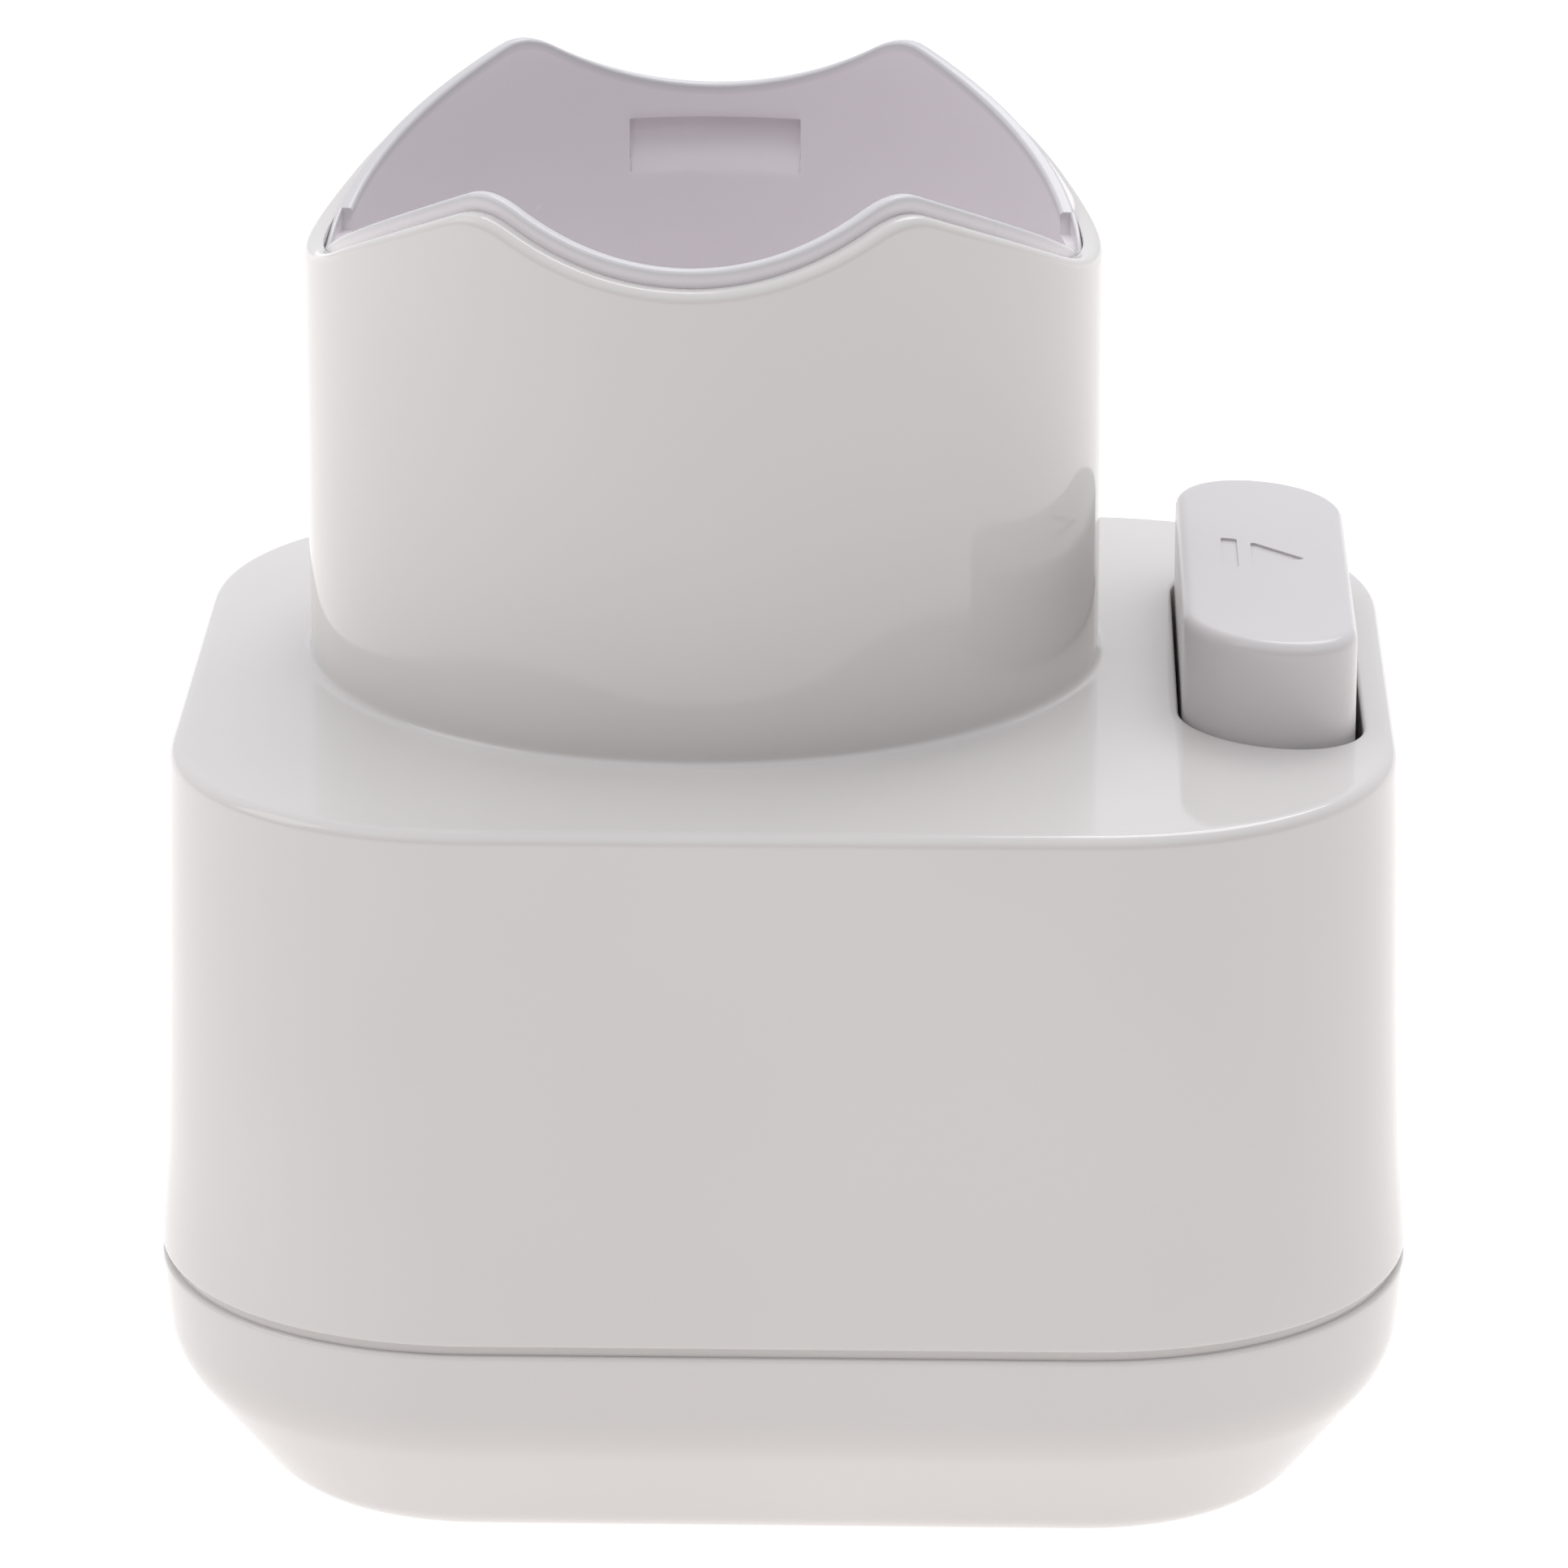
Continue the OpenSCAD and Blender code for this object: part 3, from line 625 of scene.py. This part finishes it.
def blind_post(centre, radius, hole, base, end, bottom):
    """A round post from base to end, with a hole, or a stem where the bottom lies past the end."""
    profile = [(radius, base), (radius, end), (hole, end), (hole, bottom)]
    return [sweep(lambda r: circle(r, centre, POST_POINTS), profile),
            fill(circle(hole, centre, POST_POINTS), [], bottom)]


SIGNS = [(1, 1), (-1, 1), (-1, -1), (1, -1)]
POST_POINTS, POST_R, POST_HOLE, POST_END, POST_BOTTOM = 48, 2.8, 1.2, 28.5, 40.0
post_centres = [np.array([36.0, 31.0]) * sign for sign in SIGNS]
posts = [part for centre in post_centres
         for part in blind_post(centre, POST_R, POST_HOLE, CEILING, POST_END, POST_BOTTOM)]
top_face = fill(body_outline(body_profile[-1][0]),
                [socket_circle(shell_profile[0][0]), slot_outline(slot_profile[0][0])], TOP)
ceiling = fill(body_outline(body_profile[0][0]), [
    socket_circle(DRIVE_HOLE_R), slot_outline(slot_profile[-1][0]),
    *[circle(POST_R, centre, POST_POINTS) for centre in post_centres]], CEILING)
make_piece("housing_shell", [
    housing_body, housing_shell, sweep(slot_outline, slot_profile), top_face, ceiling, *posts],
    "housing", "housing_gloss", "upper_housing")

# %% [markdown]
# ## Socket liner
# The liner is a separate moulding. Its bore has a latch window at the front and rear, which is cut
# square at the top and slopes out at the bottom so that the latch can ride out, and its rim has a
# level notch at each side. Both are shallow pockets in a round wall, so they are made as a change of
# the wall's radius over the angle and the height. The grid has extra lines where a pocket begins and ends.

# %% Liner grid
BORE_R, SEAT, POCKET_R, POCKET_FLOOR, BUSH_R = 28.2, 70.0, 20.0, 61.4, 6.0
WINDOW_HALF, WINDOW_SLOPE, WINDOW_DEPTH = 14.16, 0.42, 1.1
NOTCH_HALF, NOTCH_SLOPE, NOTCH_DEPTH, NOTCH_FLOOR = 11.0, 0.12, 0.8, LOW - 0.3
lines = [np.arange(0, 360, 1.5)]
lines += [centre + side * (WINDOW_HALF - np.array([0, 0.12, 0.26, WINDOW_SLOPE]))
          for centre in (90, 270) for side in (-1, 1)]
lines += [(centre + side * (NOTCH_HALF + np.array([0, NOTCH_SLOPE]))) % 360
          for centre in (0, 180) for side in (-1, 1)]
liner_angle = np.radians(np.unique(np.concatenate(lines).round(4)))
away = away_from_dip(liner_angle)
window = 1 - step(away, WINDOW_HALF - WINDOW_SLOPE, WINDOW_HALF)
notch = step(away, 90 - NOTCH_HALF - NOTCH_SLOPE, 90 - NOTCH_HALF)
print("lines round the liner:", len(liner_angle))

# %% [markdown]
# ## Liner surface
# Near a window the rows lie level, at the heights where the window begins and ends. Away from it they
# follow the rim, so that they never cross it. The profile closes on itself, from the rim down the bore,
# across the seat and back up outside, so the whole liner is one wrapped grid.

# %% Liner surface
LINER_EDGE, ROW_UNDER_RIM, SEAT_ROUND = 0.35, 0.95, 0.3
liner_rim = rim_height(liner_angle)
follow = step(away, 16, 25) * (liner_rim - DIP)
level_depth = [(95.4, 0), (94.8, 0), (94.7, 0.04), (94.62, 0.9), (94.5, 1), (92.95, 1), (92.75, 0.97),
               (91.4, 0.47), (91.3, 0.43), (90.3, 0.06), (90.1, 0), (89.7, 0), (88.0, 0)]
bore = BORE_R + NOTCH_DEPTH * notch
edge = np.minimum(LINER_EDGE, (LINER_R - bore) * 0.42)
bend = np.radians(np.linspace(0, 90, 7))
liner_rows = [(LINER_R, LINER_LOW[2]), (LINER_R, liner_rim - LINER_EDGE - STRIP)]
liner_rows += [(LINER_R - edge + edge * np.cos(t), liner_rim - edge + edge * np.sin(t)) for t in bend]
liner_rows += [(bore + edge - edge * np.sin(t), liner_rim - edge + edge * np.cos(t)) for t in bend]
cut_floor = np.minimum(NOTCH_FLOOR, liner_rim - LINER_EDGE)
notch_floor = liner_rim - ROW_UNDER_RIM + notch * (cut_floor - liner_rim + ROW_UNDER_RIM)
liner_rows += [(bore, notch_floor), (BORE_R, notch_floor)]
liner_rows += [(BORE_R + WINDOW_DEPTH * window * depth, z + follow) for z, depth in level_depth]
liner_rows += [(BORE_R, SEAT + STRIP), (BORE_R, SEAT), (POCKET_R + SEAT_ROUND + STRIP, SEAT)]
liner_rows += [tuple(p) for p in arc((POCKET_R + SEAT_ROUND, SEAT - SEAT_ROUND), SEAT_ROUND, 90, 180, 4)]
liner_rows += [(POCKET_R, POCKET_FLOOR), (BUSH_R, POCKET_FLOOR), (BUSH_R, LINER_LOW[2])]


def liner_ring(radius, height):
    """Points at the liner's angles, with a radius and a height that are one number or one per angle."""
    spoke = np.column_stack([np.cos(liner_angle), np.sin(liner_angle)])
    return ring(spoke * np.broadcast_to(radius, len(liner_angle))[:, None] + SOCKET_AT, height)


liner = make_piece("socket_liner", [loft([liner_ring(r, z) for r, z in liner_rows], wrap=True)],
                   "housing", "liner_satin", "coupling_sleeve", sharp=32)
place = np.empty(len(liner.data.vertices) * 3)
liner.data.vertices.foreach_get("co", place)
place = place.reshape(-1, 3) / METRES - (*SOCKET_AT, 0)
# 1 on the rim top, where the liner's finish paints shade in a darker grey.
rim_shade_mask = step(place[:, 2] - rim_height(np.arctan2(place[:, 1], place[:, 0])), -0.9, -0.3)
liner.data.attributes.new("rim", "FLOAT", "POINT").data.foreach_set("value", rim_shade_mask)
print("points on the rim:", int((rim_shade_mask > 0.5).sum()))

# %% [markdown]
# ## Base cover
# The cover closes the body from below. Its side turns from an upright wall into a bevel and then into
# the flat bottom, with a wide rounding at each bend. A lip above it locates it inside the housing, and
# a shallow set-back step under the housing's edge is the shadow line round the body. The side is three
# straight lines whose corners are replaced by arcs that touch them.

# %% Cover side
def rounded_corner(before, corner, after, radius, steps):
    """Arc that touches both lines of a corner, by spherical blending of its two radii about the centre."""
    before, corner, after = (np.array(p, float) for p in (before, corner, after))
    u, v = ((p - corner) / np.linalg.norm(p - corner) for p in (before, after))
    half = np.arccos(u @ v) / 2
    middle = corner + (u + v) / np.linalg.norm(u + v) * radius / np.sin(half)
    start, end = (corner + w * radius / np.tan(half) - middle for w in (u, v))
    angle = np.pi - 2 * half
    part = np.linspace(0, 1, steps + 1)[:, None]
    return middle + (np.sin(angle * (1 - part)) * start + np.sin(angle * part) * end) / np.sin(angle)


BEVEL_IN, BEVEL_SLOPE, BEVEL_BLEND, FOOT_BLEND = 9.1, 0.79, 7.5, 6.0
COVER_TOP, LIP_OUT, LIP_IN, LIP_TOP, FLOOR = SEAM - 0.8, 2.3, 3.8, SEAM + 3.2, 2.0
RIB_IN, RIB_TOP, LIP_BEVEL = 0.5, SEAM - 0.04, 0.3
bend_at = (0.5, BEVEL_IN / BEVEL_SLOPE - 0.5)
cover_side = np.vstack([
    rounded_corner((0.3, COVER_TOP), bend_at, (BEVEL_IN, 0), BEVEL_BLEND, 12),
    rounded_corner(bend_at, (BEVEL_IN, 0), (2 * BEVEL_IN, 0), FOOT_BLEND, 12)])
inner_side = np.column_stack([cover_side[:, 0] + LIP_IN, cover_side[:, 1].clip(FLOOR)])
inner_side = inner_side[:np.argmax(inner_side[:, 1] <= FLOOR) + 1]
cover_profile = [
    (cover_side[-1][0] + STRIP, 0), *cover_side[::-1], (0.02, COVER_TOP - LIP_ROUND - STRIP),
    *arc((LIP_ROUND, COVER_TOP - LIP_ROUND), LIP_ROUND, 180, 90, 4), (RIB_IN, COVER_TOP),
    (RIB_IN, RIB_TOP), (LIP_OUT, RIB_TOP), (LIP_OUT, LIP_TOP - LIP_BEVEL), (LIP_OUT + LIP_BEVEL, LIP_TOP),
    (LIP_IN - LIP_BEVEL, LIP_TOP), (LIP_IN, LIP_TOP - LIP_BEVEL), (LIP_IN, COVER_TOP),
    *inner_side, (inner_side[-1][0] + STRIP, FLOOR)]
print("cover's side, mm in at the table:", cover_side[-1].round(2).tolist())

# %% [markdown]
# ## Holes in the cover
# Two openings take the beaters, each with a step and a raised ring for the lower bush, and four deep
# holes take the cover's screws through hollow posts. Each is one round profile that runs from the
# bottom face to the floor inside.

# %% Cover
SIDES, BEATER_GAP = ("right", "left"), 40.0
BEATERS = [np.array([x, 0.0]) for x in (BEATER_GAP / 2, -BEATER_GAP / 2)]
SCREWS = [np.array([29.6, 23.9]) * sign for sign in SIGNS]
IDLER_PIN = middle_mm("idler_pin")
IDLER_POST_R, BEATER_POINTS = 4.0, 96
beater_hole = [(6.2, 0.0), *arc((6.1, 0.5), 0.5, 270, 180, 4), (5.6, 1.0), (7.5, 1.0), (7.5, 8.7),
               (7.8, 9.0), (8.7, 9.0), (9.0, 8.7), (9.0, FLOOR)]
screw_hole = [(3.2, 0.0), (2.9, 0.3), (2.9, 8.0), (1.7, 8.0), (1.7, 26.0), (3.3, 26.0), (3.6, 25.7),
              (3.6, FLOOR)]


def round_profiles(centres, profile, points):
    """The same profile turned round each centre."""
    return [sweep(lambda r: circle(r, centre, points), profile) for centre in centres]


def ends(centres, profile, row, points):
    """The circles on which one row of the profile lies, round each centre."""
    return [circle(profile[row][0], centre, points) for centre in centres]


bottom_face = fill(body_outline(cover_profile[0][0]), [
    *ends(BEATERS, beater_hole, 0, BEATER_POINTS), *ends(SCREWS, screw_hole, 0, POST_POINTS)], 0)
floor_face = fill(body_outline(cover_profile[-1][0]), [
    *ends(BEATERS, beater_hole, -1, BEATER_POINTS), *ends(SCREWS, screw_hole, -1, POST_POINTS),
    circle(IDLER_POST_R, IDLER_PIN, POST_POINTS)], FLOOR)
make_piece("base_cover", [
    sweep(body_outline, cover_profile), bottom_face, floor_face,
    *round_profiles(BEATERS, beater_hole, BEATER_POINTS), *round_profiles(SCREWS, screw_hole, POST_POINTS),
    *blind_post(IDLER_PIN, IDLER_POST_R, 2.0, FLOOR, 8.8, 4.0)],
    "housing", "housing_gloss", "lower_cover")

# %% [markdown]
# ## Eject key
# The key is a straight bar with slanted round ends that slides in its slot, with a flange below that
# stops it. Its top carries the eject mark, a bar and a triangle pressed a fifth of a millimetre into
# the face. The marks are real pockets: the top is filled at two levels and a thin wall joins them, so
# they still show when the model is lit another way.

# %% Key mark
MARK_DEPTH, MARK_BACK = 0.2, 0.9
BAR = [(-3.3, -3.7), (-2.05, -3.7), (-2.05, 3.7), (-3.3, 3.7)]
POINTER = [(-1.0, -3.3), (3.2, 0.0), (-1.0, 3.3)]


def pen_outline(corners, radius):
    """A polygon, with each corner replaced by an arc, on the key's top."""
    corners = np.array(corners, float)
    rounded = [rounded_corner(before, corner, after, radius, 5) for before, corner, after
               in zip(np.roll(corners, 1, axis=0), corners, np.roll(corners, -1, axis=0))]
    return slanted(np.vstack(rounded)) + (0, MARK_BACK)


mark_edges = [pen_outline(shape, 0.25) for shape in (BAR, POINTER)]
print("mark, mm across:", POINTER[1][0] - BAR[0][0])

# %% Key
KEY_TOP, FLANGE_Z, KEY_WALL = KEY_HIGH[2], KEY_LOW[2], 1.6
KEY_ROUND, FLANGE_OUT, FLANGE_BEVEL, FLANGE_TOP = 1.0, 1.1, 0.3, FLANGE_Z + 2.0
CAP_Z = KEY_TOP - 1.8
key_profile = [
    (KEY_WALL, CAP_Z), (KEY_WALL, FLANGE_Z), (-FLANGE_OUT, FLANGE_Z),
    (-FLANGE_OUT, FLANGE_TOP - FLANGE_BEVEL), (-FLANGE_OUT + FLANGE_BEVEL, FLANGE_TOP), (0, FLANGE_TOP),
    (0, KEY_TOP - KEY_ROUND - STRIP), *arc((KEY_ROUND, KEY_TOP - KEY_ROUND), KEY_ROUND, 180, 90, 8),
    (KEY_ROUND + STRIP, KEY_TOP)]
mark_walls = [loft([ring(outline, KEY_TOP), ring(outline, KEY_TOP - MARK_DEPTH)]) for outline in mark_edges]
mark_floors = [fill(outline, [], KEY_TOP - MARK_DEPTH) for outline in mark_edges]
SPRING_AT = middle_mm("eject_spring")
CUP_R, CUP_SEAT, STEM_R, STEM_END = 4.6, 60.5, 2.2, 56.3
KEY_POST_R, KEY_POST_HOLE, KEY_POST_BOTTOM = 2.6, 0.9, 51.4
screw_posts = [KEY_AT + (0, y) for y in (-13, 15)]
key_posts = [part for centre in screw_posts
             for part in blind_post(centre, KEY_POST_R, KEY_POST_HOLE, CAP_Z, FLANGE_Z, KEY_POST_BOTTOM)]
spring_cup = blind_post(SPRING_AT, CUP_R, STEM_R, CAP_Z, CUP_SEAT, STEM_END)
cap = fill(key_outline(KEY_WALL), [
    *[circle(KEY_POST_R, centre, POST_POINTS) for centre in screw_posts],
    circle(CUP_R, SPRING_AT, POST_POINTS)], CAP_Z)
make_piece("eject_key_cap", [
    sweep(key_outline, key_profile), fill(key_outline(key_profile[-1][0]), mark_edges, KEY_TOP),
    *mark_walls, *mark_floors, cap, *key_posts, *spring_cup],
    "eject_slide", "key_satin", "eject_key")

# %% [markdown]
# ## Drive coupling
# Deep in the socket stands the star that the motor turns. Its six arms are rounded so that the handle's
# matching socket finds them. The outline is a circle whose radius grows to the arms where the cosine of
# six times the angle is high.

# %% Coupling
STAR_CORE, STAR_TIP, STAR_POINTS, SHAFT_R, SHAFT_END = 4.0, 5.6, 240, 2.5, 67.0
HUB_R, HUB_TOP, HUB_EDGE, COLLAR_R, TIP_ROUND = 6.5, 65.0, 0.4, 5.9, 0.5
COUPLING_LOW, COUPLING_HIGH = (corner[2] for corner in box_mm("drive_coupling"))


def star(inset):
    """Radius core + (tip - core) * step(cos 6a), less the inset."""
    angle = np.arange(STAR_POINTS) * TURN / STAR_POINTS
    radius = STAR_CORE + (STAR_TIP - STAR_CORE) * step(np.cos(6 * angle), -0.35, 0.75) - inset
    return np.column_stack([np.cos(angle), np.sin(angle)]) * radius[:, None] + SOCKET_AT


hub = sweep(lambda r: circle(r, SOCKET_AT, STAR_POINTS), [
    (SHAFT_R, SHAFT_END), (SHAFT_R, COUPLING_LOW), (HUB_R, COUPLING_LOW), (HUB_R, HUB_TOP - HUB_EDGE),
    (HUB_R - HUB_EDGE, HUB_TOP), (COLLAR_R, HUB_TOP)])
collar = loft([ring(circle(COLLAR_R, SOCKET_AT, STAR_POINTS), HUB_TOP), ring(star(0), HUB_TOP)])
arms_profile = [
    (0, HUB_TOP), (0, COUPLING_HIGH - TIP_ROUND - STRIP),
    *arc((TIP_ROUND, COUPLING_HIGH - TIP_ROUND), TIP_ROUND, 180, 90, 5), (0.8, COUPLING_HIGH)]
make_piece("coupling_star", [
    hub, collar, sweep(star, arms_profile), fill(star(arms_profile[-1][0]), [], COUPLING_HIGH),
    fill(circle(SHAFT_R, SOCKET_AT, STAR_POINTS), [], SHAFT_END)],
    "input_drive", "grey_nylon", "drive_coupling")

# %% [markdown]
# ## Seals
# A rubber ring in each opening keeps batter out of the gears. Its lip thins towards the turning tube.

# %% Seals
seal_section = [(7.5, 1.0), (7.5, 2.4), (5.6, 2.4), (5.0, 2.1), (4.65, 1.7), (4.6, 1.5), (4.68, 1.3),
                (5.0, 1.25), (5.3, 1.35), (5.6, 1.2), (5.8, 1.0)]
for side, centre in zip(SIDES, BEATERS):
    make_piece(f"seal_ring_{side}",
               [sweep(lambda r: circle(r, centre, BEATER_POINTS), seal_section, wrap=True)],
               "housing", "seal_rubber", f"beater_seal_{side}")

# %% [markdown]
# ## Return spring
# A round wire carried along a helix, whose first and last turns lie flat, as on a real compression
# spring. It stands between the chassis and the key, and here it moves with the housing.

# %% Spring
SPRING_R, WIRE_R, SPRING_TURNS, TRAVEL = 3.4, 0.45, 8, 7.0
SPRING_LOW, SPRING_HIGH = (corner[2] for corner in box_mm("eject_spring"))
STEPS_A_TURN, WIRE_POINTS, END_RISE = 40, 12, 3.2 * WIRE_R
turns = np.linspace(0, SPRING_TURNS, SPRING_TURNS * STEPS_A_TURN + 1)
wire_z = np.interp(
    turns, [0, 1, SPRING_TURNS - 1, SPRING_TURNS],
    [SPRING_LOW + WIRE_R, SPRING_LOW + END_RISE, SPRING_HIGH - END_RISE, SPRING_HIGH - WIRE_R])
round_wire = np.arange(WIRE_POINTS) * TURN / WIRE_POINTS
reach = SPRING_R + WIRE_R * np.cos(round_wire)[None, :]
coil = np.stack([SPRING_AT[0] + reach * np.cos(turns * TURN)[:, None],
                 SPRING_AT[1] + reach * np.sin(turns * TURN)[:, None],
                 wire_z[:, None] + WIRE_R * np.sin(round_wire)[None, :]], axis=-1)
wire_ends = [(coil[row], np.arange(WIRE_POINTS)[None, :]) for row in (0, -1)]
spring = make_piece("return_spring", [loft(coil), *wire_ends],
                    "housing", "spring_steel", "eject_spring")
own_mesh(spring)

# %% [markdown]
# ## Floor and light
# A wide pale floor and a bright room all round give the soft, shadowless light of a catalogue picture.
# The room is darker on the viewer's side, which lets the front of the body fall a little grey against
# the white floor and brings out its form. The floor glows slightly, so that it stays white right up to
# the object and lights the bevel from below.

# %% Floor
def floor_finish():
    """Near-white paper: a very soft tone drift, a fine grain and a low glow."""
    finish = Finish("floor_paper", Emission_Color=(1, 0.98, 0.97, 1), Emission_Strength=0.94)
    tone = finish.noise(3.0, detail=2.0)
    finish.set("Base Color", finish.wire.mix(tone, (0.22, 0.21, 0.205), (0.26, 0.25, 0.245)))
    finish.set("Roughness", tone * 0.1 + 0.6)
    finish.bump(finish.noise(900, detail=2.0), distance=0.00002)
    return finish.material


FLOOR_HALF = 4.0
floor_corners = [(x * FLOOR_HALF, y * FLOOR_HALF, 0) for x, y in SIGNS]
floor_mesh = bpy.data.meshes.new("floor")
floor_mesh.from_pydata(floor_corners, [], [(0, 1, 2, 3)])
floor = bpy.data.objects.new("floor", floor_mesh)
bpy.context.scene.collection.objects.link(floor)
floor_mesh.materials.append(floor_finish())
print("floor, metres:", 2 * FLOOR_HALF)

# %% Room
ROOM_FRONT, ROOM_ABOVE, ROOM_BACK = (0.06, 0.055, 0.05), (1.38, 1.39, 1.45), (0.83, 0.845, 0.87)
world = bpy.data.worlds.new("room")
world.use_nodes = True
bpy.context.scene.world = world
sky = Wire(world.node_tree, None)
direction = sky.node("ShaderNodeTexCoord", out="Generated")
backward = sky.node("ShaderNodeSeparateXYZ", {"Vector": direction}, out="Y").above(-0.5, 0.8)
upward = sky.node("ShaderNodeSeparateXYZ", {"Vector": direction}, out="Z").above(0.25, 0.9)
tone = sky.mix(backward, sky.mix(upward, ROOM_FRONT, ROOM_ABOVE), ROOM_BACK)
sky.plug(world.node_tree.nodes["Background"].inputs["Color"], tone)
print("room: darker on the viewer's side")

# %% Lamps
def soft_lamp(name, place, size, power, colour):
    """A square area lamp that faces the middle of the object."""
    lamp = bpy.data.lights.new(name, "AREA")
    lamp.size, lamp.energy, lamp.color = size, power, colour
    stand = bpy.data.objects.new(name, lamp)
    stand.location = place
    stand.rotation_euler = (Vector(AIM) - Vector(place)).to_track_quat("-Z", "Y").to_euler()
    bpy.context.scene.collection.objects.link(stand)


soft_lamp("lamp_left", (-0.9, -0.1, 0.7), 0.6, 1.6, (1.0, 0.99, 0.98))
soft_lamp("lamp_back", (0.2, 0.7, 1.05), 0.6, 3.4, (1.0, 0.99, 1.0))
bpy.context.scene.view_settings.view_transform = "Standard"
print("lamps:", [light.name for light in bpy.data.lights])
